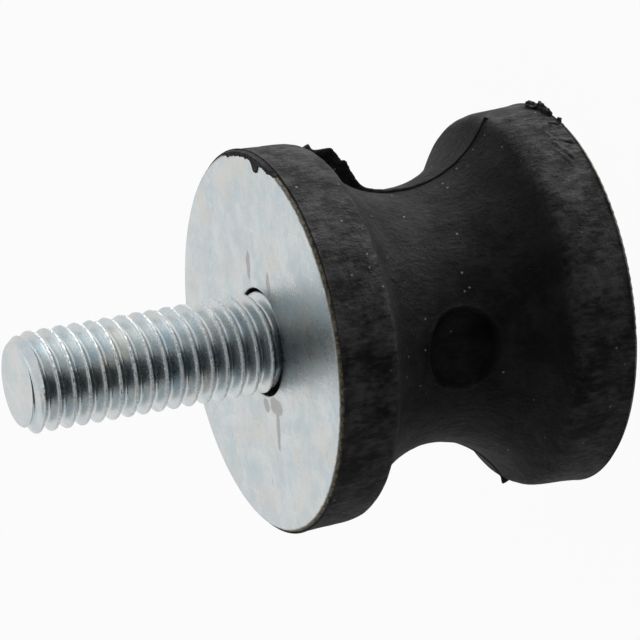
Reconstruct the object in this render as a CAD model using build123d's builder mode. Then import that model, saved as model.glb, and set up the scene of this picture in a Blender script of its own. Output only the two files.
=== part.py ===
"""Waisted rubber-to-metal vibration mount, 30 mm across and 25 mm high, with an M8 stud.

Two steel plates are bonded into the ends of a waisted rubber body. A headed M8 stud stands
through the front plate, and a tapped M8 bush is set in the rear plate. Units are millimetres.
Z = 0 is the outer face of the rear plate, on which the mount stands. +Z runs along the axis to
the tip of the stud. The body was moulded in two halves that met in the XZ plane, and a round
mould mark is sunk into the waist on the -Y side.
"""

from build123d import *

import os
from math import asin, cos, degrees, radians, sin, tan

# Rubber body
body_diameter = 30.0
body_height = 25.0  # over the outer faces of both plates
flange_thickness = 4.9  # of each end, at the mouth of the groove
waist_diameter = 20.0
flange_shrinkage = 0.15  # the free rubber shrinks in from the plates that hold the ends
flange_edge_radius = 0.4
rubber_setback = 0.3  # each end of the rubber lies this far behind the face of its plate
rim_cover = 0.2  # rubber over the rim of each plate

# Flash where the mould halves met
flash_thickness = 0.3
flash_rim_height = 0.8  # at the edge of the front flange, along the axis
flash_wall_height = 0.75  # half way down the wall of the groove
flash_waist_height = 0.3
bead_height = 0.15  # the low bead on the opposite side

# Round mould mark in the waist
mark_diameter = 6.0
mark_depth = 0.9  # at its centre

# Plates
plate_thickness = 2.0
plate_edge_radius = 0.25

# Stud
stud_diameter = 7.8  # over the crests of an M8 thread
stud_length = 20.0  # out of the front plate
stud_bevel_length = 0.8  # at the tip, along the axis
stud_bevel_depth = 0.65  # and across it
stud_head_diameter = 13.0
stud_head_thickness = 2.5
stud_head_edge_radius = 0.4
stud_blank_diameter = 7.2  # of the plain neck in the plate, which the rolled thread stands above
stud_neck_fillet = 0.2  # under the head
stud_clearance = 0.3  # from the crests to the hole in the front plate

# Tapped bush
bush_diameter = 13.0
bush_shoulder = 1.0  # step that rests on the inside of the rear plate
bush_edge_radius = 0.4
bush_end_wall = 1.6  # metal beyond the tip of the drilled hole
tapping_diameter = 6.8  # bore of an M8 thread
thread_depth = 8.0
mouth_bevel = 0.6
drill_point_angle = 118.0

# Places that follow from the sizes above
body_radius = body_diameter / 2
waist_radius = waist_diameter / 2
mid_height = body_height / 2
groove_edge_radius = body_radius - flange_shrinkage
groove_top = body_height - flange_thickness
plate_radius = body_radius - rim_cover
front_plate_back = body_height - plate_thickness
stud_radius = stud_diameter / 2
stud_neck_radius = stud_blank_diameter / 2
thread_start = body_height - (stud_radius - stud_neck_radius)
stud_hole_radius = stud_radius + stud_clearance
stud_tip = body_height + stud_length
head_bottom = front_plate_back - stud_head_thickness
bush_radius = bush_diameter / 2
spigot_radius = bush_radius - bush_shoulder
bore_radius = tapping_diameter / 2
bore_end = mouth_bevel + thread_depth
drill_tip = bore_end + bore_radius / tan(radians(drill_point_angle / 2))
bush_length = drill_tip + bush_end_wall

# The groove is one arc from the edge of one flange, through the waist, to the other
groove_half_width = mid_height - flange_thickness
groove_depth = groove_edge_radius - waist_radius
groove_arc_radius = (groove_half_width**2 + groove_depth**2) / (2 * groove_depth)
groove_edge_angle = degrees(asin(groove_half_width / groove_arc_radius))


def groove_point(angle, lift=0.0):
    """Point on the groove's arc, angle degrees above the waist and lifted off the rubber."""
    reach = groove_arc_radius - lift
    arc_centre = waist_radius + groove_arc_radius
    return arc_centre - reach * cos(radians(angle)), mid_height + reach * sin(radians(angle))


# Front plate: a punched disc with a clearance hole for the stud
with BuildPart() as front_plate:
    with BuildSketch(Plane.XY.offset(front_plate_back)):
        Circle(plate_radius)
        Circle(stud_hole_radius, mode=Mode.SUBTRACT)
    extrude(amount=plate_thickness)
    fillet(front_plate.faces().sort_by(Axis.Z)[-1].edges(), plate_edge_radius)

# Rear plate: the same disc the other way up, with a hole for the bush
with BuildPart() as rear_plate:
    with BuildSketch(Plane.XY):
        Circle(plate_radius)
        Circle(spigot_radius, mode=Mode.SUBTRACT)
    extrude(amount=plate_thickness)
    rear_rim = rear_plate.faces().sort_by(Axis.Z)[0].outer_wire()
    fillet(rear_rim.edges(), plate_edge_radius)

# Stud: its head lies in the rubber and seats on the back of the front plate
with BuildPart() as stud:
    with BuildSketch(Plane.XZ) as stud_section:
        Polygon(
            (0, head_bottom),
            (stud_head_diameter / 2, head_bottom),
            (stud_head_diameter / 2, front_plate_back),
            (stud_neck_radius, front_plate_back),
            (stud_neck_radius, thread_start),
            (stud_radius, body_height),
            (stud_radius, stud_tip - stud_bevel_length),
            (stud_radius - stud_bevel_depth, stud_tip),
            (0, stud_tip),
            align=None,
        )
        head_edge = stud_section.vertices().sort_by_distance((stud_head_diameter / 2, head_bottom))[0]
        fillet(head_edge, stud_head_edge_radius)
        neck = stud_section.vertices().sort_by_distance((stud_neck_radius, front_plate_back))[0]
        fillet(neck, stud_neck_fillet)
    revolve(axis=Axis.Z)

# Tapped bush: blind from the rear face, so that no rubber could reach its thread
with BuildPart() as threaded_bush:
    with BuildSketch(Plane.XZ) as bush_section:
        Polygon(
            (0, bush_length),
            (bush_radius, bush_length),
            (bush_radius, plate_thickness),
            (spigot_radius, plate_thickness),
            (spigot_radius, 0),
            (bore_radius + mouth_bevel, 0),
            (bore_radius, mouth_bevel),
            (bore_radius, bore_end),
            (0, drill_tip),
            align=None,
        )
        inner_edge = bush_section.vertices().sort_by_distance((bush_radius, bush_length))[0]
        fillet(inner_edge, bush_edge_radius)
    revolve(axis=Axis.Z)

# Rubber body: the waisted turning first, then its flash, its mark and the room for the metal
with BuildPart() as rubber_body:
    with BuildSketch(Plane.XZ) as body_section:
        with BuildLine():
            rear_edge = (groove_edge_radius, flange_thickness)
            front_edge = (groove_edge_radius, groove_top)
            ThreePointArc(rear_edge, (waist_radius, mid_height), front_edge)
            Polyline(
                front_edge,
                (body_radius, front_plate_back),
                (body_radius, body_height - rubber_setback),
                (0, body_height - rubber_setback),
                (0, rubber_setback),
                (body_radius, rubber_setback),
                (body_radius, plate_thickness),
                rear_edge,
            )
        make_face()
        for edge_point in (rear_edge, front_edge):
            flange_edge = body_section.vertices().sort_by_distance(edge_point)[0]
            fillet(flange_edge, flange_edge_radius)
    revolve(axis=Axis.Z)

    # Flash: high on the front flange's wall, lower across the waist, and gone on the rear wall
    with BuildSketch(Plane.XZ):
        flash_root = waist_radius - flash_waist_height
        flash_end = groove_point(-groove_edge_angle / 2)
        flash_rim = (groove_edge_radius, groove_top - flash_rim_height)
        with BuildLine():
            ThreePointArc(
                flash_rim,
                groove_point(groove_edge_angle / 2, flash_wall_height),
                groove_point(0, flash_waist_height),
            )
            ThreePointArc(
                groove_point(0, flash_waist_height),
                groove_point(-groove_edge_angle / 4, flash_waist_height / 2),
                flash_end,
            )
            Polyline(
                flash_end,
                (flash_root, flash_end[1]),
                (flash_root, groove_top),
                front_edge,
                flash_rim,
            )
        make_face()
    extrude(amount=flash_thickness / 2, both=True)

    # Bead on the opposite side, highest at the waist and gone at the flanges
    with BuildSketch(Plane.XZ):
        with BuildLine():
            bead_top = groove_point(groove_edge_angle, -bead_height)
            bead_bottom = groove_point(-groove_edge_angle, -bead_height)
            ThreePointArc(bead_top, groove_point(0, bead_height), bead_bottom)
            Polyline(
                bead_bottom,
                (waist_radius - bead_height, bead_bottom[1]),
                (waist_radius - bead_height, bead_top[1]),
                bead_top,
            )
        make_face()
        mirror(about=Plane.YZ, mode=Mode.REPLACE)
    extrude(amount=flash_thickness / 2, both=True)

    # Mark
    with BuildSketch(Plane.XZ.offset(waist_radius - mark_depth)):
        with Locations((0, mid_height)):
            Circle(mark_diameter / 2)
    extrude(amount=groove_depth, mode=Mode.SUBTRACT)

    # Room for the metal pieces, and nothing left inside their holes
    for piece in (front_plate, rear_plate, stud, threaded_bush):
        add(piece.part, mode=Mode.SUBTRACT)
    with BuildSketch(Plane.XY.offset(front_plate_back)):
        Circle(stud_hole_radius)
    extrude(amount=plate_thickness, mode=Mode.SUBTRACT)
    with BuildSketch(Plane.XY):
        Circle(bore_radius + mouth_bevel)
    extrude(amount=drill_tip, mode=Mode.SUBTRACT)

os.makedirs("parts", exist_ok=True)

front_plate.part.label = "front_plate"
export_step(front_plate.part, "parts/front_plate.step")

rear_plate.part.label = "rear_plate"
export_step(rear_plate.part, "parts/rear_plate.step")

stud.part.label = "stud"
export_step(stud.part, "parts/stud.step")

threaded_bush.part.label = "threaded_bush"
export_step(threaded_bush.part, "parts/threaded_bush.step")

rubber_body.part.label = "rubber_body"
export_step(rubber_body.part, "parts/rubber_body.step")
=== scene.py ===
"""Dressed model of a waisted rubber vibration mount with a zinc-plated plate and M8 stud.

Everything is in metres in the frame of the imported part: the mount stands on its rear plate at
Z = 0, and +Z runs along its axis to the tip of the stud. The mould halves met in the XZ plane and
the round mould mark faces -Y.
"""

import math

import bmesh
import bpy
from mathutils import Matrix, Vector, noise


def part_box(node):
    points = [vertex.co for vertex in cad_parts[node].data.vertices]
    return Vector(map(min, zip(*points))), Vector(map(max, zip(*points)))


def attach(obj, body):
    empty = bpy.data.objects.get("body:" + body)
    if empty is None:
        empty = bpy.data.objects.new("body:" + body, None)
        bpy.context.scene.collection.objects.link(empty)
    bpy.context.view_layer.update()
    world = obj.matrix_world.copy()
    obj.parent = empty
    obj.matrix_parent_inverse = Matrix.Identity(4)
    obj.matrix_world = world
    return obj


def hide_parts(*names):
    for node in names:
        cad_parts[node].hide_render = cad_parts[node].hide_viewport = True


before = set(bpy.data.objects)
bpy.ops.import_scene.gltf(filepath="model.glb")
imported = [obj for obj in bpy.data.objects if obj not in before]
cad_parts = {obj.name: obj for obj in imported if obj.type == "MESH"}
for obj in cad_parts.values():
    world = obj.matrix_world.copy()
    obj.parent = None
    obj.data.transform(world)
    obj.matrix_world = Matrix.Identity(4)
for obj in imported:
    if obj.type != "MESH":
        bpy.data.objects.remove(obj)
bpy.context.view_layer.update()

MM = 0.001
WELD = 0.001 * MM  # vertices this close become one

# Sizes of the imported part, from the boxes of its solids
plate_low, plate_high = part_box("front_plate")
rubber_low, rubber_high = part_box("rubber_body")
stud_low, stud_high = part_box("stud")
rear_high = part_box("rear_plate")[1]
bush_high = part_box("threaded_bush")[1]
FACE = plate_high.z
PLATE_BACK = plate_low.z
PLATE_RADIUS = plate_high.x
BODY_RADIUS = rubber_high.x
RUBBER_FRONT = rubber_high.z
RUBBER_REAR = rubber_low.z
REAR_PLATE_BACK = rear_high.z
MID = FACE / 2
TIP = stud_high.z
HEAD_BOTTOM = stud_low.z
HEAD_RADIUS = stud_high.x
BUSH_RADIUS = bush_high.x
BUSH_END = bush_high.z

# The rubber, where the boxes don't give it
WAIST_RADIUS = 10.0 * MM
FLANGE = 4.9 * MM  # thickness of each flange, at the mouth of the groove
FLANGE_EDGE_RADIUS = BODY_RADIUS - 0.3 * MM  # the free rubber shrinks in from the plates
END_ROUND = 0.12 * MM  # at the outer edge of each end
TAPER_STEPS = 14
BODY_STEPS = 320  # round the axis
GROOVE_STEPS = 124
FLASH_THICKNESS = 0.34 * MM
FLASH_STEPS = 170
FLANGE_SET_IN = 0.07  # of the flanges' outer faces, in millimetres

# The round mould mark
MARK_RADIUS = 3.0 * MM
MARK_FLOOR = 9.1 * MM  # from the axis
MARK_SHIFT = 0.4 * MM  # towards -X
MARK_WALL = (MARK_RADIUS - 0.18 * MM, MARK_RADIUS + 0.1 * MM)
MARK_LIP_RADIUS = MARK_RADIUS + 0.28 * MM
MARK_LIP_WIDTH = 0.16 * MM
MARK_LIP_HEIGHT = 0.1 * MM

# The plate and the stud
STUD_HOLE_RADIUS = 4.2 * MM
PLATE_RIM_ROUND = 0.28 * MM
PLATE_HOLE_ROUND = 0.2 * MM
CREST_RADIUS = 3.9 * MM
NECK_RADIUS = 3.6 * MM
NECK_END = FACE - 0.2 * MM
THREAD_START = FACE - 0.35 * MM
TIP_RADIUS = 3.25 * MM
TIP_BEVEL = 0.8 * MM

# The M8 thread
PITCH = 1.25 * MM
THREAD_DEPTH = 0.74 * MM
ROOT_CUT = 0.19 * MM  # how much of the sharp V its root loses
ROOT_ROUND = 0.06 * MM
CREST_ROUND = 0.035 * MM
THREAD_STEPS = 96  # in each turn
THREAD_POINTS = 22  # across each pitch

# The tapped bush
SPIGOT_RADIUS = 5.5 * MM
TAPPING_RADIUS = 3.4 * MM
TAPPED_RADIUS = 4.0 * MM
THREAD_END = 8.6 * MM
DRILL_HALF_ANGLE = math.radians(59)
BUSH_EDGE = 0.4 * MM

# Cracks in the rear flange, each a line of places: azimuth in degrees and height in millimetres
CRACKS = (
    ((-14.2, 1.5), (-16.5, 0.7), (-15.0, -0.1)),
    ((-15.3, 1.3), (-19.0, 1.9), (-22.7, 1.7)),
    ((-24.1, 2.4), (-25.0, 1.5), (-27.4, 0.6)),
    ((-24.5, 2.5), (-29.0, 2.0), (-34.3, 1.4)),
    ((-7.5, 5.3), (-5.3, 4.6), (-4.7, 3.9), (-7.1, 3.0)),
)
CRACK_WIDTH = 0.085 * MM
CRACK_DEPTH = 0.42  # this and the lip's height are in millimetres
CRACK_LIP = 0.07
# Torn lumps on that flange: azimuth, height, and half sizes out, round and along the axis
TORN_LUMPS = (
    (0.5, 0.75, (0.42, 0.75, 0.36)),
    (-3.5, 0.5, (0.5, 0.6, 0.3)),
    (-7.5, 0.5, (0.42, 0.75, 0.24)),
    (-14.6, 0.35, (0.3, 0.14, 0.2)),
)
# Grey stains on the front plate: place across X and Y, width along Y and length along X
PLATE_STAINS = (
    (5.8, 1.3, 0.35, 1.1),
    (5.1, -2.35, 0.3, 0.9),
    (-4.6, -2.6, 1.1, 0.7),
    (-6.3, -2.6, 0.3, 1.6),
    (-4.9, -0.6, 0.5, 0.5),
)
# Azimuths of the skin over the front plate's rim, and of the rise and fall of its torn tab
SKIN_SPAN = (-19.0, 20.0)
SKIN_TAB = (-8.2, -6.6, -4.6, -1.4)
SKIN_STEPS = 120
SKIN_THICKNESS = 0.06 * MM

# The groove is one arc through the edges of both flanges and the waist
GROOVE_HALF = MID - FLANGE
GROOVE_DEPTH = FLANGE_EDGE_RADIUS - WAIST_RADIUS
GROOVE_ARC = (GROOVE_HALF**2 + GROOVE_DEPTH**2) / (2 * GROOVE_DEPTH)
GROOVE_EDGE_ANGLE = math.asin(GROOVE_HALF / GROOVE_ARC)


def smooth_step(value, low, high):
    """0 below low, 1 above high, and a smooth ramp between."""
    share = min(max((value - low) / (high - low), 0.0), 1.0)
    return share * share * (3 - 2 * share)


def groove_point(angle, lift):
    """Radius and height of the groove at an angle from the waist, lifted off the rubber."""
    reach = GROOVE_ARC - lift
    centre = WAIST_RADIUS + GROOVE_ARC
    return centre - reach * math.cos(angle), MID + reach * math.sin(angle)


# ---------------------------------------------------------------- meshes


def arc(centre, radius, start, end, count):
    """Points on an arc in the (radius, height) plane, from one angle to another, in degrees."""
    angles = [math.radians(start + (end - start) * step / count) for step in range(count + 1)]
    return [(centre[0] + radius * math.cos(angle), centre[1] + radius * math.sin(angle)) for angle in angles]


def eased(start, corner, end, count):
    """Points strictly between two ends, on a curve that rounds the corner between them."""
    points = []
    for step in range(1, count):
        share = step / count
        weights = ((1 - share) ** 2, 2 * share * (1 - share), share**2)
        pulls = list(zip(weights, (start, corner, end)))
        points.append(tuple(sum(weight * point[axis] for weight, point in pulls) for axis in (0, 1)))
    return points


def new_object(name, data):
    """An object at the origin, linked to the scene."""
    made = bpy.data.objects.new(name, data)
    bpy.context.scene.collection.objects.link(made)
    return made


def as_object(bm, name, material):
    """Turns a bmesh into an object with one material."""
    mesh = bpy.data.meshes.new(name)
    bm.to_mesh(mesh)
    bm.free()
    mesh.materials.append(material)
    return new_object(name, mesh)


def finished(bm, name, material, sharp_angle=60):
    """Turns a bmesh into a smooth-shaded piece of the mount that rides on its body."""
    bmesh.ops.remove_doubles(bm, verts=bm.verts, dist=WELD)
    bmesh.ops.recalc_face_normals(bm, faces=bm.faces)
    for edge in bm.edges:
        edge.smooth = edge.calc_face_angle(0.0) < math.radians(sharp_angle)
    for face in bm.faces:
        face.smooth = True
    piece = as_object(bm, name, material)
    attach(piece, "root")
    return piece


def spin_outline(bm, outline, steps, closed=False):
    """Spins a (radius, height) outline once about Z, welding it to itself."""
    points = [bm.verts.new((radius, 0, height)) for radius, height in outline]
    edges = [bm.edges.new(pair) for pair in zip(points, points[1:])]
    if closed:
        edges.append(bm.edges.new((points[-1], points[0])))
    bmesh.ops.spin(bm, geom=points + edges, axis=(0, 0, 1), angle=math.tau, steps=steps, use_merge=True)


def move_to_radius(vert, radius):
    """Moves a vertex straight in or out to a radius."""
    factor = radius / math.hypot(vert.co.x, vert.co.y)
    vert.co.x *= factor
    vert.co.y *= factor


def thread_radius(share, crest, depth):
    """Radius of a 60 degree thread at a share of its pitch, with rounded crest and root."""
    from_root = 1 - abs(2 * share - 1)
    flank = from_root * PITCH / 2 * math.sqrt(3) - ROOT_CUT
    low = 0.5 * (flank + math.hypot(flank, ROOT_ROUND))
    return crest - depth + 0.5 * (low + depth - math.hypot(low - depth, CREST_ROUND))


def wind_thread(bm, crest, depth, low, high):
    """Winds a right-hand thread about Z, turn by turn, and cuts it off square at both heights."""
    start = low - 1.5 * PITCH
    points = []
    for step in range(THREAD_POINTS + 1):
        share = step / THREAD_POINTS
        points.append(bm.verts.new((thread_radius(share, crest, depth), 0, start + share * PITCH)))
    edges = [bm.edges.new(pair) for pair in zip(points, points[1:])]
    climb = Vector((0, 0, PITCH / THREAD_STEPS))
    bmesh.ops.spin(
        bm, geom=points + edges, axis=(0, 0, 1), dvec=climb, angle=math.tau, steps=THREAD_STEPS
    )
    turn = bm.verts[:] + bm.edges[:] + bm.faces[:]
    for count in range(1, math.ceil((high - low) / PITCH) + 3):
        copied = bmesh.ops.duplicate(bm, geom=turn)["geom"]
        verts = [part for part in copied if isinstance(part, bmesh.types.BMVert)]
        bmesh.ops.translate(bm, vec=(0, 0, count * PITCH), verts=verts)
    bmesh.ops.remove_doubles(bm, verts=bm.verts, dist=WELD)
    for height, direction in ((low, -1), (high, 1)):
        geom = bm.verts[:] + bm.edges[:] + bm.faces[:]
        cut = (0, 0, height)
        bmesh.ops.bisect_plane(
            bm, geom=geom, dist=0.0001 * MM, plane_co=cut, plane_no=(0, 0, direction), clear_outer=True
        )


def close_holes(bm):
    """Caps every open rim with one face."""
    rims = [edge for edge in bm.edges if edge.is_boundary]
    bmesh.ops.holes_fill(bm, edges=rims, sides=0)


# ---------------------------------------------------------------- shader nodes


class Wire:
    """One output socket. Arithmetic on it adds Math nodes to its shader."""

    def __init__(self, shader, socket):
        self.shader = shader
        self.socket = socket

    def math(self, operation, *values):
        return self.shader.node("ShaderNodeMath", {"operation": operation}, dict(enumerate(values)))

    def __add__(self, other):
        return self.math("ADD", self, other)

    def __mul__(self, other):
        return self.math("MULTIPLY", self, other)

    def __sub__(self, other):
        return self.math("SUBTRACT", self, other)

    def __rsub__(self, other):
        return self.math("SUBTRACT", other, self)

    def __truediv__(self, other):
        return self.math("DIVIDE", self, other)

    def __pow__(self, other):
        return self.math("POWER", self, other)

    __radd__ = __add__
    __rmul__ = __mul__

    def min(self, other):
        return self.math("MINIMUM", self, other)

    def max(self, other):
        return self.math("MAXIMUM", self, other)

    def ramp(self, low, high, to_low=0.0, to_high=1.0):
        """Smooth ramp from to_low, where the value is low, to to_high, where it is high."""
        inputs = {0: self, 1: low, 2: high, 3: to_low, 4: to_high}
        return self.shader.node("ShaderNodeMapRange", {"interpolation_type": "SMOOTHSTEP"}, inputs)


class Shader:
    """The nodes of a material or of the world."""

    def __init__(self, owner):
        owner.use_nodes = True
        self.tree = owner.node_tree

    def plug(self, socket, value):
        """Links a wire to a socket, or sets the socket to a plain value."""
        if isinstance(value, Wire):
            self.tree.links.new(value.socket, socket)
        else:
            socket.default_value = value

    def node(self, kind, settings=None, inputs=None, output=0):
        """Adds a node with its settings first, then the values or links of its sockets."""
        made = self.tree.nodes.new(kind)
        for key, value in (settings or {}).items():
            setattr(made, key, value)
        for key, value in (inputs or {}).items():
            self.plug(made.inputs[key], value)
        return Wire(self, made.outputs[output])

    def seen(self):
        """1 to the camera, to reflections and through glass, and 0 where it lights a surface."""
        rays = ("Is Camera Ray", "Is Glossy Ray", "Is Transmission Ray")
        direct, mirrored, through = [self.node("ShaderNodeLightPath", output=ray) for ray in rays]
        return direct.max(mirrored).max(through)


class Paint(Shader):
    """A material of the stage, without a Principled shader."""

    def __init__(self, name):
        self.material = bpy.data.materials.new(name)
        super().__init__(self.material)
        self.tree.nodes.remove(self.tree.nodes["Principled BSDF"])

    def surface(self, wire):
        self.plug(self.tree.nodes["Material Output"].inputs["Surface"], wire)


class Finish(Shader):
    """The material of a piece, in millimetres of the object's own coordinates."""

    def __init__(self, name):
        self.material = bpy.data.materials.new(name)
        super().__init__(self.material)
        self.principled = self.tree.nodes["Principled BSDF"]
        coordinates = self.node("ShaderNodeTexCoord", output="Object")
        scaled = {0: coordinates, "Scale": 1 / MM}
        self.place = self.node("ShaderNodeVectorMath", {"operation": "SCALE"}, scaled)

    def set(self, socket, value):
        """Sets or links one of the Principled shader's sockets."""
        self.plug(self.principled.inputs[socket], value)

    def across(self):
        """The x and y of the place on the object."""
        return [self.node("ShaderNodeSeparateXYZ", {}, {0: self.place}, axis) for axis in "XY"]

    def stretched(self, x=1.0, y=1.0, z=1.0, turn=(0, 0, 0)):
        """The place on the object, stretched along its axes and then turned, in degrees."""
        radians = [math.radians(degrees) for degrees in turn]
        inputs = {"Vector": self.place, "Rotation": radians, "Scale": (x, y, z)}
        return self.node("ShaderNodeMapping", {}, inputs)

    def noise(self, scale, detail, roughness=0.5, place=None):
        """Fractal noise between 0 and 1, with features about 1 / scale millimetres wide."""
        inputs = {
            "Vector": place or self.place,
            "Scale": scale,
            "Detail": detail,
            "Roughness": roughness,
        }
        return self.node("ShaderNodeTexNoise", {}, inputs)

    def cells(self, scale, place=None):
        """Distance to the nearest of many scattered points, in cell widths."""
        inputs = {"Vector": place or self.place, "Scale": scale}
        return self.node("ShaderNodeTexVoronoi", {}, inputs)

    def blend(self, share, first, second):
        """A colour between two, by share."""
        # A Mix node keeps its colours at these sockets
        share_in, first_in, second_in, colour_out = 0, 6, 7, 2
        inputs = {share_in: share, first_in: first, second_in: second}
        return self.node("ShaderNodeMix", {"data_type": "RGBA"}, inputs, colour_out)

    def bump(self, height):
        """A normal tilted by a height in millimetres."""
        return self.node("ShaderNodeBump", {}, {"Height": height, "Strength": 1.0, "Distance": MM})


def grey(value):
    """A neutral colour."""
    return (value, value, value, 1.0)


# Colours of the rubber
BLACK = (0.006, 0.0056, 0.0057, 1)
FADED_BLACK = (0.015, 0.0143, 0.0145, 1)
# Pale scuffs, partly wear and partly a painted highlight on the flanges
SCUFF_AND_PAINTED_HIGHLIGHT = (0.1, 0.095, 0.098, 1)
DUST = grey(0.3)
# Near black: painted shade inside the cracks
CRACK_PAINTED_SHADE = grey(0.001)

# Colours of the zinc and of what lies on it
DULL_ZINC = (0.46, 0.525, 0.555, 1)
BRIGHT_ZINC = (0.565, 0.595, 0.60, 1)
WARM_ZINC = (0.565, 0.555, 0.52, 1)
BRUSHED_LINE = grey(0.8)
PIT = (0.20, 0.21, 0.22, 1)
STAIN = (0.27, 0.265, 0.26, 1)
SCRATCH = (0.22, 0.23, 0.23, 1)
DARK_RESIN = (0.05, 0.043, 0.035, 1)
PALE_RESIN = (0.24, 0.21, 0.15, 1)
WORN_CREST = (0.85, 0.86, 0.86, 1)


# ---------------------------------------------------------------- materials


def make_rubber():
    """Moulded black rubber with a fine streaky grain, pale dust, scuffed flanges that are also paler as a
    painted highlight, and cracks painted near black as painted shade.
    """
    rubber = Finish("moulded_rubber")
    rubber.set("Specular IOR Level", 0.1)
    x, y = rubber.across()
    radius = (x * x + y * y) ** 0.5
    mottle = rubber.noise(0.4, 5.0, 0.65)
    grain = rubber.noise(3.2, 6.0, 0.7)
    streaks = rubber.noise(2.4, 6.0, 0.7, place=rubber.stretched(1.0, 1.0, 0.4))
    # The outer rubber of the flanges gets much more of the pale scuff colour: partly wear, partly a painted
    # highlight on the flanges
    flange = radius.ramp(13.6, 14.9)
    scuffs_and_highlight = (mottle * 0.5 + streaks * 0.5).ramp(0.41, 0.66) * (0.12 + flange * 0.88)
    chosen = rubber.noise(0.31, 2.0, place=rubber.stretched(turn=(30, 10, 0))).ramp(0.38, 0.46)
    dust = rubber.cells(0.7).ramp(0.075, 0.05) * chosen
    specks = rubber.cells(1.7, place=rubber.stretched(turn=(0, 40, 20))).ramp(0.06, 0.04)
    specks = specks * rubber.noise(0.5, 2.0, place=rubber.stretched(turn=(50, 0, 0))).ramp(0.55, 0.62)
    base = rubber.blend(mottle.ramp(0.35, 0.65), BLACK, FADED_BLACK)
    base = rubber.blend(scuffs_and_highlight * 0.8, base, SCUFF_AND_PAINTED_HIGHLIGHT)
    base = rubber.blend((dust + specks * 0.5).min(1.0) * 0.75, base, DUST)
    # Painted shade: the rubber turns near black where the crack attribute is high, standing in for the shade
    # inside the cracks
    crack = rubber.node("ShaderNodeAttribute", {"attribute_name": "crack"}, output="Fac")
    base = rubber.blend(crack.ramp(0.05, 0.35), base, CRACK_PAINTED_SHADE)
    rubber.set("Base Color", base)
    rubber.set("Roughness", grain.ramp(0.3, 0.7, 0.56, 0.74))
    height = grain * 0.14 + streaks * 0.3 + mottle * 0.2
    rubber.set("Normal", rubber.bump(height))
    return rubber.material


def zinc_finish(zinc, line_place):
    """Base tint, roughness and height of the plating, shared by all the metal pieces."""
    clouds = zinc.noise(0.5, 6.0, 0.66)
    warm = zinc.noise(0.3, 5.0, 0.6, place=zinc.stretched(turn=(40, 20, 10)))
    fine = zinc.noise(5.0, 6.0, 0.75)
    lines = zinc.noise(1.6, 6.0, 0.7, place=line_place)
    pits = zinc.cells(1.9).ramp(0.09, 0.04) * zinc.noise(0.8, 3.0).ramp(0.5, 0.62)
    cool = zinc.blend(clouds.ramp(0.36, 0.64), DULL_ZINC, BRIGHT_ZINC)
    tint = zinc.blend(warm.ramp(0.44, 0.66) * 0.7, cool, WARM_ZINC)
    tint = zinc.blend(lines.ramp(0.56, 0.72) * 0.25, tint, BRUSHED_LINE)
    tint = zinc.blend(pits * 0.6, tint, PIT)
    roughness = clouds.ramp(0.3, 0.7, 0.3, 0.22) + fine.ramp(0.3, 0.8, 0.0, 0.08)
    height = fine * 0.014 + lines * 0.012 - pits * 0.02
    return tint, roughness, height


def make_plate_zinc():
    """Bright zinc with a stained, resin-marked rim where the rubber was bonded to it."""
    zinc = Finish("zinc_plate")
    tint, roughness, height = zinc_finish(zinc, zinc.stretched(2.2, 0.12, 1, (0, 0, 12)))
    x, y = zinc.across()
    radius = (x * x + y * y) ** 0.5
    crumbs = zinc.noise(2.5, 5.0, 0.7)
    scratch = zinc.noise(1.0, 4.0, 0.6, place=zinc.stretched(0.8, 6, 1, (0, 0, -8))).ramp(0.64, 0.69)
    stain = zinc.noise(1.1, 5.0, 0.7)
    marks = 0.0
    for across, along, width, length in PLATE_STAINS:
        spot = (((x - across) / length) ** 2 + ((y - along) / width) ** 2) ** 0.5
        marks = (spot + stain * 1.8).ramp(2.1, 1.8) + marks
    tint = zinc.blend(marks.min(1.0) * 0.75, tint, STAIN)
    tint = zinc.blend(scratch * 0.6, tint, SCRATCH)
    rim = (radius + crumbs * 0.3).ramp(PLATE_RADIUS / MM - 0.1, PLATE_RADIUS / MM + 0.08)
    residue = zinc.blend(crumbs.ramp(0.4, 0.6), DARK_RESIN, PALE_RESIN)
    zinc.set("Base Color", zinc.blend(rim, tint, residue))
    zinc.set("Metallic", 1 - rim * 0.8)
    zinc.set("Roughness", roughness.max(rim * 0.7))
    zinc.set("Normal", zinc.bump(height + rim * crumbs * 0.1))
    return zinc.material


def make_stud_zinc():
    """Bright zinc over a rolled thread, pale and rough along its crests."""
    zinc = Finish("zinc_stud")
    zinc.set("Metallic", 1.0)
    tint, roughness, height = zinc_finish(zinc, zinc.stretched(1, 1, 2.5))
    x, y = zinc.across()
    radius = (x * x + y * y) ** 0.5
    crest = radius.ramp(CREST_RADIUS / MM - 0.1, CREST_RADIUS / MM - 0.03)
    crumbs = zinc.noise(3.5, 5.0, 0.8)
    worn = crest * crumbs.ramp(0.42, 0.58)
    zinc.set("Base Color", zinc.blend(worn * 0.7, tint, WORN_CREST))
    zinc.set("Roughness", roughness + worn * 0.25 - 0.04)
    zinc.set("Normal", zinc.bump(height + worn * 0.02))
    return zinc.material


RUBBER = make_rubber()
PLATE_ZINC = make_plate_zinc()
STUD_ZINC = make_stud_zinc()

# ---------------------------------------------------------------- rubber body


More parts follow.
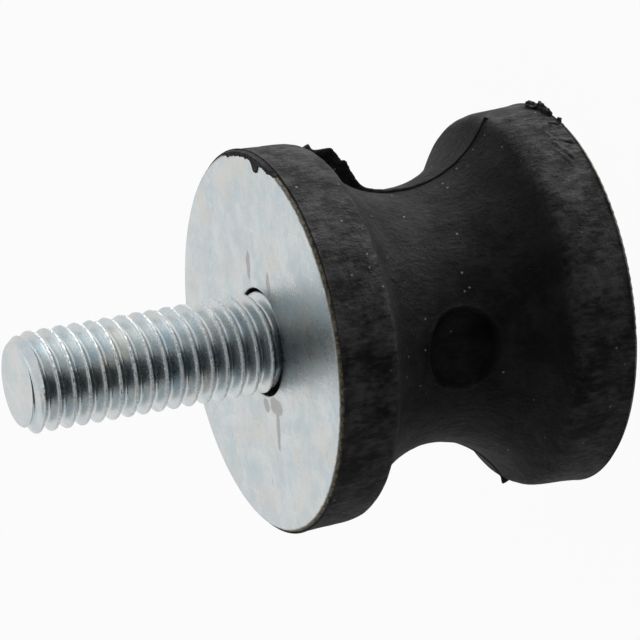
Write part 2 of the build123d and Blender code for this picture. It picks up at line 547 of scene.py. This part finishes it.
def rubber_outline():
    """Half section of the rubber, from axis to axis, with the plates let into its ends."""
    edge_height = RUBBER_FRONT - END_ROUND
    outline = [(0, PLATE_BACK), (PLATE_RADIUS, PLATE_BACK), (PLATE_RADIUS, edge_height)]
    outline += arc((PLATE_RADIUS + END_ROUND, edge_height), END_ROUND, 180, 90, 3)[1:]
    outline += arc((BODY_RADIUS - END_ROUND, edge_height), END_ROUND, 90, 0, 3)
    top = FACE - FLANGE
    taper_radius, taper_end = FLANGE_EDGE_RADIUS + 0.12 * MM, top + 1.0 * MM
    for step in range(1, TAPER_STEPS):
        share = step / TAPER_STEPS
        height = edge_height * (1 - share) + taper_end * share
        outline.append((BODY_RADIUS - (BODY_RADIUS - taper_radius) * share, height))
    rear_outline = [(radius, FACE - height) for radius, height in reversed(outline)]
    # The arc of the groove stops a few degrees short of both edges, which leaves room to round them
    centre = (WAIST_RADIUS + GROOVE_ARC, MID)
    reach = math.degrees(GROOVE_EDGE_ANGLE)
    groove = arc(centre, GROOVE_ARC, 180 - reach + 3, 180 + reach - 5, GROOVE_STEPS)
    front_edge = eased(outline[-1], (FLANGE_EDGE_RADIUS, top), groove[0], 8)
    rear_edge = eased(groove[-1], (FLANGE_EDGE_RADIUS, FLANGE), rear_outline[0], 10)
    return outline + front_edge + groove + rear_edge + rear_outline


def near_mark(place, margin=0.7 * MM):
    """Whether a place is in the square round the mould mark."""
    reach = MARK_RADIUS + margin
    return place.y < -0.5 * WAIST_RADIUS and abs(place.x) < reach and abs(place.z - MID) < reach


def dent_mark(bm):
    """Sinks the round mould mark into the waist, with a low lip round it."""
    for vert in bm.verts:
        place = vert.co
        if near_mark(place, 0.9 * MM):
            distance = math.hypot(place.x + MARK_SHIFT, place.z - MID)
            inside = 1 - smooth_step(distance, *MARK_WALL)
            lip = math.exp(-(((distance - MARK_LIP_RADIUS) / MARK_LIP_WIDTH) ** 2))
            place.y += (-MARK_FLOOR - place.y) * inside - MARK_LIP_HEIGHT * lip


def polar(azimuth, radius, height):
    """A point from its azimuth in degrees, its radius and its height."""
    turn = math.radians(azimuth)
    return Vector((radius * math.cos(turn), radius * math.sin(turn), height))


def nearest_on_crack(place, crack):
    """Distance from a place to a crack's line, and how far along the line it is, 0 to 1."""
    best = (1.0, 0.0)
    for index, (start, end) in enumerate(zip(crack, crack[1:])):
        run = end - start
        share = min(max((place - start).dot(run) / run.dot(run), 0), 1)
        gap = (place - start - run * share).length
        best = min(best, (gap, (index + share) / (len(crack) - 1)))
    return best


def near_cracks(place, margin=0):
    """Whether a place is on the cracked part of the rear flange, or near it with a margin of 1."""
    azimuth = math.degrees(math.atan2(place.y, place.x))
    beside = -36 - 4 * margin < azimuth < 1 + 4 * margin
    low = place.z < FLANGE + (0.4 + 0.1 * margin) * MM
    return beside and low and place.length > (14 - 2 * margin) * MM


def open_cracks(bm):
    """Opens the short cracks in the rear flange, and lifts the rubber a little along them."""
    # The crack attribute tells the rubber material where to paint shade inside the cracks
    depth = bm.verts.layers.float.new("crack")
    lines = [[polar(azimuth, BODY_RADIUS, height * MM) for azimuth, height in crack] for crack in CRACKS]
    for vert in bm.verts:
        place = vert.co
        if not near_cracks(place, 1):
            continue
        turn = math.atan2(place.y, place.x)
        shift = 0.0
        for line in lines:
            gap, along = nearest_on_crack(place, line)
            fade = smooth_step(along, 0.0, 0.15) * (1 - smooth_step(along, 0.8, 1.0)) + 0.15
            opened = fade * math.exp(-((gap / CRACK_WIDTH) ** 2))
            vert[depth] = max(vert[depth], opened)
            shift -= CRACK_DEPTH * opened
            shift += CRACK_LIP * fade * math.exp(-(((gap - 0.3 * MM) / (0.2 * MM)) ** 2))
        place.x += shift * MM * math.cos(turn)
        place.y += shift * MM * math.sin(turn)


def roughen(bm):
    """Lets the moulded surface waver a little, more on the free rubber than at the plates."""
    for vert in bm.verts:
        place = vert.co
        radius = math.hypot(place.x, place.y)
        between_ends = RUBBER_REAR + 0.1 * MM < place.z < RUBBER_FRONT - 0.1 * MM
        if radius < WAIST_RADIUS - 1.5 * MM or not between_ends:
            continue
        wave = 0.07 * noise.noise(place / MM * 0.22) + 0.03 * noise.noise(place / MM * 0.9)
        pits = 0.012 * noise.noise(place / MM * 3.0)
        free = smooth_step(abs(place.z - MID), MID - 0.4 * MM, MID - 2.5 * MM)
        inward = FLANGE_SET_IN * smooth_step(radius, 14.5 * MM, 15 * MM)
        factor = 1 + (wave * free + pits - inward) * MM / radius
        place.x *= factor
        place.y *= factor


def subdivide_near(bm, close, cuts):
    """Divides the edges whose ends are both in a region."""
    edges = [edge for edge in bm.edges if all(close(vert.co) for vert in edge.verts)]
    bmesh.ops.subdivide_edges(bm, edges=edges, cuts=cuts, use_grid_fill=True)


def build_rubber():
    bm = bmesh.new()
    spin_outline(bm, rubber_outline(), BODY_STEPS)
    bmesh.ops.remove_doubles(bm, verts=bm.verts, dist=WELD)
    subdivide_near(bm, near_mark, 2)
    subdivide_near(bm, near_cracks, 4)
    roughen(bm)
    dent_mark(bm)
    open_cracks(bm)
    body = finished(bm, "rubber_body_moulded", RUBBER)
    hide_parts("rubber_body")


def ragged(angle, seed):
    """Gentle unevenness of a torn edge, by the angle from the waist in degrees."""
    broad = noise.noise(Vector((angle * 0.22, seed, 0)))
    return broad + 0.35 * noise.noise(Vector((angle * 0.7, seed, 3)))


# The height of a flash is in millimetres, its thickness is a share of FLASH_THICKNESS, and its lean
# is how far it goes along +Y for each step up. All three go by the angle from the waist in degrees.


def front_flash(angle):
    """Height, thickness and lean of the flash on the +X side, torn high on the front flange's wall."""
    torn = smooth_step(angle, 19, 42) * (1 - smooth_step(angle, 53, 61))
    low = 0.1 + 0.16 * smooth_step(angle, -40, 5)
    rough = (0.05 + 0.2 * torn) * (1 - smooth_step(angle, 46, 56))
    height = low + 1.25 * torn + rough * ragged(angle, 1)
    thickness = 0.45 + 0.55 * smooth_step(angle, -30, 10)
    lean = 0.25 * noise.noise(Vector((angle * 0.12, 9, 0))) - 0.1
    return height, thickness, lean


def back_flash(angle):
    """Height, thickness and lean of the trimmed flash on the -X side, with a tag left at the rear."""
    tag = 1 - smooth_step(angle, -63.5, -60)
    nibs = smooth_step(ragged(angle, 7), 0.2, 0.5) * smooth_step(angle, 20, 35)
    height = 0.08 + 0.16 * tag + 0.14 * nibs
    thickness = 0.6 + 0.6 * tag
    return height, thickness, 0.0


def build_flash(name, side, shape):
    """A line of flash where the mould halves met, round the groove from flange to flange."""
    centre = WAIST_RADIUS + GROOVE_ARC
    sweep = GROOVE_EDGE_ANGLE + math.radians(0.5)
    pivot = (centre, 0, MID)
    half = FLASH_THICKNESS / 2
    # Lift and half width of the section, from its buried root to its blunt edge
    near_side = ((-0.4, 1), (0, 1), (0.45, 0.75), (0.85, 0.5))
    section = [(lift, -width) for lift, width in near_side] + [(1, 0)] + list(reversed(near_side))
    bm = bmesh.new()
    points = [bm.verts.new((WAIST_RADIUS + lift * MM, width * half, MID)) for lift, width in section]
    edges = [bm.edges.new(pair) for pair in zip(points, points[1:] + points[:1])]
    bmesh.ops.rotate(bm, cent=pivot, matrix=Matrix.Rotation(-sweep, 3, "Y"), verts=points)
    bmesh.ops.spin(bm, geom=points + edges, cent=pivot, axis=(0, 1, 0), angle=2 * sweep, steps=FLASH_STEPS)
    for vert in bm.verts:
        across = centre - vert.co.x
        along = vert.co.z - MID
        angle = math.atan2(along, across)
        height, thickness, lean = shape(math.degrees(angle))
        lift = GROOVE_ARC - math.hypot(across, along)
        vert.co.y *= thickness
        if lift > 0.01 * MM:
            lift *= height
            vert.co.y += lean * lift
        radius, vert.co.z = groove_point(angle, lift)
        vert.co.x = side * radius
    close_holes(bm)
    finished(bm, name, RUBBER)


def build_tear():
    """The torn lumps at the outer edge of the rear flange, where the mould halves met."""
    bm = bmesh.new()
    for azimuth, height, size in TORN_LUMPS:
        place = polar(azimuth, BODY_RADIUS - 0.05 * MM, height * MM)
        grown = bmesh.ops.create_icosphere(bm, subdivisions=4, radius=1.0)["verts"]
        seed = Vector((azimuth, 0, 0))
        for vert in grown:
            bumpy = 1 + 0.5 * noise.noise(vert.co * 1.7 + seed)
            bumpy += 0.2 * noise.noise(vert.co * 5 + seed)
            vert.co *= bumpy
        bmesh.ops.scale(bm, vec=[part * MM for part in size], verts=grown)
        turned = Matrix.Rotation(math.radians(azimuth), 3, "Z")
        bmesh.ops.rotate(bm, cent=(0, 0, 0), matrix=turned, verts=grown)
        bmesh.ops.translate(bm, vec=place, verts=grown)
    finished(bm, "torn_flange_edge", RUBBER)


def build_skin():
    """Thin rubber skin that crept over the rim of the front plate, with one torn tab."""
    bm = bmesh.new()
    start, end = SKIN_SPAN
    tab_start, tab_full, tab_fall, tab_end = SKIN_TAB
    section = (BODY_RADIUS - 0.1 * MM, PLATE_RADIUS, PLATE_RADIUS - 0.2 * MM)
    points = [bm.verts.new((radius, 0, 0)) for radius in section]
    edges = [bm.edges.new(pair) for pair in zip(points, points[1:])]
    turned = Matrix.Rotation(math.radians(start), 3, "Z")
    bmesh.ops.rotate(bm, cent=(0, 0, 0), matrix=turned, verts=points)
    sweep = math.radians(end - start)
    bmesh.ops.spin(bm, geom=points + edges, axis=(0, 0, 1), angle=sweep, steps=SKIN_STEPS)
    inner = PLATE_RADIUS - 0.1 * MM
    for vert in bm.verts:
        radius = math.hypot(vert.co.x, vert.co.y)
        azimuth = math.degrees(math.atan2(vert.co.y, vert.co.x))
        vert.co.z = RUBBER_FRONT - 0.05 * MM
        if radius < PLATE_RADIUS + 0.01 * MM:
            vert.co.z = FACE - 0.04 * MM
        if radius < inner:
            ends = smooth_step(azimuth, start, start + 5) * (1 - smooth_step(azimuth, end - 5, end))
            rise = smooth_step(azimuth, tab_start, tab_full)
            tab = rise * (1 - smooth_step(azimuth, tab_fall, tab_end))
            coarse = noise.noise(Vector((azimuth * 0.8, 2, 0)))
            fine = noise.noise(Vector((azimuth * 3, 4, 0)))
            torn = 0.16 * coarse + 0.1 * fine
            reach = (0.22 * ends + 0.75 * tab + torn * ends) * MM
            vert.co *= (inner - max(reach, 0)) / radius
            vert.co.z = FACE + 0.01 * MM
    bmesh.ops.solidify(bm, geom=bm.faces[:], thickness=SKIN_THICKNESS)
    finished(bm, "skin_over_rim", RUBBER)


# ---------------------------------------------------------------- metal


def build_front_plate():
    """The punched disc, with a rolled-over rim and hole."""
    hole_round, rim_round = PLATE_HOLE_ROUND, PLATE_RIM_ROUND
    outline = [(STUD_HOLE_RADIUS, PLATE_BACK)]
    outline += arc((STUD_HOLE_RADIUS + hole_round, FACE - hole_round), hole_round, 180, 90, 6)
    outline += arc((PLATE_RADIUS - rim_round, FACE - rim_round), rim_round, 90, 0, 8)
    outline += [(PLATE_RADIUS, PLATE_BACK)]
    bm = bmesh.new()
    spin_outline(bm, outline, 256, closed=True)
    plate = finished(bm, "front_plate_disc", PLATE_ZINC)
    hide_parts("front_plate")


def build_stud():
    """The M8 stud: rolled thread with a bevelled tip, plain neck and hidden head."""
    bm = bmesh.new()
    wind_thread(bm, CREST_RADIUS, THREAD_DEPTH, THREAD_START, TIP)
    slope = (CREST_RADIUS - TIP_RADIUS) / TIP_BEVEL
    for vert in bm.verts:
        allowed = TIP_RADIUS + (TIP - vert.co.z) * slope
        if math.hypot(vert.co.x, vert.co.y) > allowed:
            move_to_radius(vert, allowed)
    close_holes(bm)
    head_and_neck = [
        (0, HEAD_BOTTOM),
        (HEAD_RADIUS, HEAD_BOTTOM),
        (HEAD_RADIUS, PLATE_BACK),
        (NECK_RADIUS, PLATE_BACK),
        (NECK_RADIUS, NECK_END),
        (0, NECK_END),
    ]
    spin_outline(bm, head_and_neck, 96)
    stud = finished(bm, "stud_threaded", STUD_ZINC, 50)
    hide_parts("stud")


def build_bush():
    """The tapped bush, drilled blind from the rear face, with a bevelled mouth."""
    bm = bmesh.new()
    wind_thread(bm, TAPPED_RADIUS, TAPPED_RADIUS - TAPPING_RADIUS, 0, THREAD_END)
    for vert in bm.verts:
        allowed = TAPPED_RADIUS - vert.co.z
        if math.hypot(vert.co.x, vert.co.y) < allowed:
            move_to_radius(vert, allowed)
    deep = [edge for edge in bm.edges if edge.is_boundary and edge.verts[0].co.z > MID / 2]
    floor = bmesh.ops.holes_fill(bm, edges=deep, sides=0)["faces"]
    bmesh.ops.poke(bm, faces=floor, offset=0)
    middle = min(bm.verts, key=lambda vert: math.hypot(vert.co.x, vert.co.y))
    middle.co.z += TAPPING_RADIUS / math.tan(DRILL_HALF_ANGLE)
    rim = [edge for edge in bm.edges if edge.is_boundary]
    for radius, height in (
        (SPIGOT_RADIUS, 0),
        (SPIGOT_RADIUS, REAR_PLATE_BACK),
        (BUSH_RADIUS, REAR_PLATE_BACK),
        (BUSH_RADIUS, BUSH_END - BUSH_EDGE),
        (BUSH_RADIUS - BUSH_EDGE, BUSH_END),
    ):
        grown = bmesh.ops.extrude_edge_only(bm, edges=rim)["geom"]
        rim = [part for part in grown if isinstance(part, bmesh.types.BMEdge)]
        for vert in [part for part in grown if isinstance(part, bmesh.types.BMVert)]:
            move_to_radius(vert, radius)
            vert.co.z = height
    close_holes(bm)
    bush = finished(bm, "bush_tapped", STUD_ZINC, 50)
    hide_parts("threaded_bush")


build_rubber()
build_bush()
build_flash("mould_flash", 1, front_flash)
build_flash("mould_flash_back", -1, back_flash)
build_tear()
build_skin()
build_front_plate()
build_stud()
for material_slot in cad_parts["rear_plate"].material_slots:
    material_slot.material = PLATE_ZINC

# ---------------------------------------------------------------- camera

AIM = Vector((1.368, -1.545, 20.522)) * MM
DISTANCE = 410.3 * MM
AZIMUTH = math.radians(16.0)
ELEVATION = math.radians(22.586)
ROLL = math.radians(99.865)

TOWARDS_CAMERA = Vector(
    (
        math.sin(AZIMUTH) * math.cos(ELEVATION),
        -math.cos(AZIMUTH) * math.cos(ELEVATION),
        math.sin(ELEVATION),
    )
)
SIDEWAYS = Vector((TOWARDS_CAMERA.x, TOWARDS_CAMERA.y, 0)).normalized()
CAMERA_TURN = TOWARDS_CAMERA.to_track_quat("Z", "Y").to_matrix() @ Matrix.Rotation(-ROLL, 3, "Z")
VIEW_UP = CAMERA_TURN @ Vector((0, 1, 0))
VIEW_LEFT = CAMERA_TURN @ Vector((-1, 0, 0))
VIEW_BACK = CAMERA_TURN @ Vector((0, 0, 1))


def build_camera():
    """The camera, which sees the mount lie on its side."""
    camera_data = bpy.data.cameras.new("camera")
    camera_data.lens = 300.6
    camera_data.sensor_width = 36.0
    camera_data.clip_start = 0.01
    camera_data.clip_end = 10.0
    camera = new_object("camera", camera_data)
    camera.location = AIM + TOWARDS_CAMERA * DISTANCE
    camera.rotation_euler = CAMERA_TURN.to_euler()
    bpy.context.scene.camera = camera


# ---------------------------------------------------------------- floor and light

CENTRE = Vector((0, 0, MID))
FLOOR_GAP = 0.1 * MM  # under the rear plate, so that the two never share a plane
FLOOR_REACH = 4.0
FLOOR_GLOW = 0.95  # share of the floor that shows plain white, and the rest takes the shadow
WORLD_LIGHT = 0.3
ROOM_RADIUS = 1.2
ROOM_TONE = 0.02
APRON_RADII = (1.25 * BODY_RADIUS, 0.6)
APRON_SPAN = (-138.0, -60.0)
APRON_HEIGHT = 0.3 * MM
APRON_TONE = 0.05


def soft_box(name, direction, distance, size, power):
    """A square area lamp that looks at the mount."""
    lamp = bpy.data.lights.new(name, "AREA")
    lamp.size = size
    lamp.energy = power
    box = new_object(name, lamp)
    box.location = CENTRE + direction.normalized() * distance
    box.rotation_euler = (box.location - CENTRE).to_track_quat("Z", "Y").to_euler()


def build_floor():
    """A pale floor that shows white and keeps a soft shadow.

    The key lamp stands below the level of the floor, which therefore throws no shadow itself.
    """
    paint = Paint("pale_floor")
    plain = paint.node("ShaderNodeBsdfDiffuse", {}, {"Color": grey(0.8)})
    glow = paint.node("ShaderNodeEmission", {}, {"Strength": 1.0})
    share = paint.seen() * FLOOR_GLOW
    paint.surface(paint.node("ShaderNodeMixShader", {}, {0: share, 1: plain, 2: glow}))
    bm = bmesh.new()
    bmesh.ops.create_grid(bm, x_segments=1, y_segments=1, size=FLOOR_REACH)
    floor = as_object(bm, "floor", paint.material)
    floor.location.z = -FLOOR_GAP
    floor.visible_shadow = False


def build_world():
    """Even soft light, shown white to the camera and to reflections."""
    world = bpy.data.worlds.new("studio")
    bpy.context.scene.world = world
    sky = Shader(world)
    back = sky.tree.nodes["Background"]
    sky.plug(back.inputs["Color"], grey(1))
    sky.plug(back.inputs["Strength"], WORLD_LIGHT + sky.seen() * (1 - WORLD_LIGHT))


def stage_screen(bm, name, tone):
    """Makes a cool dark screen that shows only in reflections."""
    paint = Paint(name)
    colour = (tone * 0.75, tone, tone * 1.15, 1.0)
    paint.surface(paint.node("ShaderNodeEmission", {}, {"Color": colour}))
    screen = as_object(bm, name, paint.material)
    screen.visible_camera = False
    screen.visible_diffuse = False
    screen.visible_shadow = False
    screen.visible_transmission = False


def build_dark_room():
    """The dim room on the camera's side: part of a sphere, open above and to the left."""
    bm = bmesh.new()
    bmesh.ops.create_uvsphere(bm, u_segments=64, v_segments=32, radius=ROOM_RADIUS)
    for normal, reach in ((-VIEW_BACK, -0.1), (VIEW_UP, 0.55), (VIEW_LEFT, 0.5)):
        geom = bm.verts[:] + bm.edges[:] + bm.faces[:]
        bmesh.ops.bisect_plane(bm, geom=geom, plane_co=normal * reach, plane_no=normal, clear_outer=True)
    bmesh.ops.translate(bm, vec=CENTRE, verts=bm.verts)
    stage_screen(bm, "dark_room", ROOM_TONE)


def build_dark_apron():
    """A dark sheet on the floor before the mount, which the thread reflects."""
    bm = bmesh.new()
    ends = [bm.verts.new((reach, 0, APRON_HEIGHT)) for reach in APRON_RADII]
    edge = bm.edges.new(ends)
    start, end = APRON_SPAN
    turned = Matrix.Rotation(math.radians(start), 3, "Z")
    bmesh.ops.rotate(bm, cent=(0, 0, 0), matrix=turned, verts=ends)
    sweep = math.radians(end - start)
    bmesh.ops.spin(bm, geom=ends + [edge], axis=(0, 0, 1), angle=sweep, steps=24)
    stage_screen(bm, "dark_apron", APRON_TONE)


build_camera()
build_floor()
build_world()
build_dark_room()
build_dark_apron()
soft_box("key", VIEW_UP - VIEW_LEFT * 0.35 - VIEW_BACK * 0.3, distance=0.7, size=0.5, power=8.0)
above_stud = Vector((0, 0, 1)) - SIDEWAYS * 0.26 + VIEW_UP * 0.36
soft_box("strip", above_stud, distance=0.5, size=0.16, power=0.12)

bpy.context.scene.view_settings.view_transform = "Standard"
